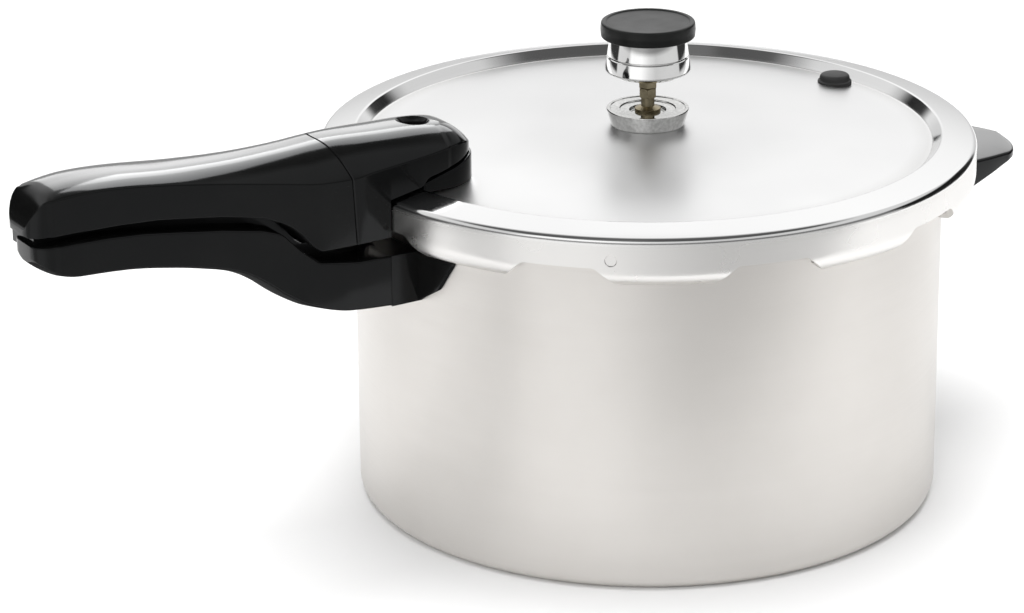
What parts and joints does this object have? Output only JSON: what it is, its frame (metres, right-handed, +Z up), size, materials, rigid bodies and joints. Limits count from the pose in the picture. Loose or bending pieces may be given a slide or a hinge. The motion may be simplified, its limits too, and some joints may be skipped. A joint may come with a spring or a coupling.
{
  "type": "stovetop pressure cooker",
  "caption": "Straight-sided aluminium stovetop pressure cooker with a bayonet cover, long black handles, a helper handle, a weighted pressure regulator, a safety plug and a lock pin.",
  "frame": {"origin": "centre of the underside of the pot's base, on the pot's axis", "axes": "+Z up along the pot's axis, +X towards the helper handle, long handles along -X"},
  "size_m": [0.4924, 0.2836, 0.21],
  "materials": {
    "satin_aluminium": "satin, faint vertical banding",
    "polished_aluminium": "mirror polished on top, satin on the skirt",
    "black_phenolic": "glossy moulded",
    "cap_plastic": "satin moulded",
    "black_rubber": "matt",
    "plug_rubber": "matt",
    "bright_chrome": "mirror plated",
    "dark_brass": "dulled",
    "bracket_steel": "brushed",
    "screw_steel": "plain"
  },
  "bodies": {
    "pot": {"pot_body": "satin_aluminium", "body_handle_bracket": "bracket_steel", "body_handle_guard": "black_phenolic", "body_handle_grip": "black_phenolic", "body_handle_screw": "screw_steel", "helper_handle_bracket": "bracket_steel", "helper_handle": "black_phenolic", "helper_handle_screw": "screw_steel"},
    "sealing_ring": {"sealing_ring": "black_rubber"},
    "cover": {"cover": "polished_aluminium", "cover_handle_bracket": "bracket_steel", "cover_bracket_rivets": "screw_steel", "cover_handle_front": "black_phenolic", "cover_handle_grip": "black_phenolic", "cover_handle_screws": "screw_steel", "vent_base": "bright_chrome", "vent_pipe": "dark_brass", "vent_pipe_washer": "black_rubber", "vent_pipe_nut": "screw_steel", "overpressure_plug": "plug_rubber"},
    "air_vent": {"air_vent_pin": "screw_steel", "air_vent_gasket": "plug_rubber"},
    "regulator": {"regulator_spindle": "dark_brass", "regulator_lower_weight": "bright_chrome", "regulator_upper_weight": "bright_chrome", "regulator_cap": "cap_plastic"}
  },
  "joints": [
    {"name": "cover_lift", "type": "slide", "parent": "pot", "child": "sealing_ring", "axis": [0, 0, 1], "range_m": [0, 0.15]},
    {"name": "cover_turn", "type": "hinge", "parent": "sealing_ring", "child": "cover", "pos_m": [0, 0, 0.155], "axis": [0, 0, 1], "range_deg": [0, 18]},
    {"name": "air_vent_lift", "type": "slide", "parent": "cover", "child": "air_vent", "axis": [0, 0, 1], "range_m": [0, 0.0035]},
    {"name": "regulator_lift", "type": "slide", "parent": "cover", "child": "regulator", "axis": [0, 0, 1], "range_m": [0, 0.05]}
  ]
}
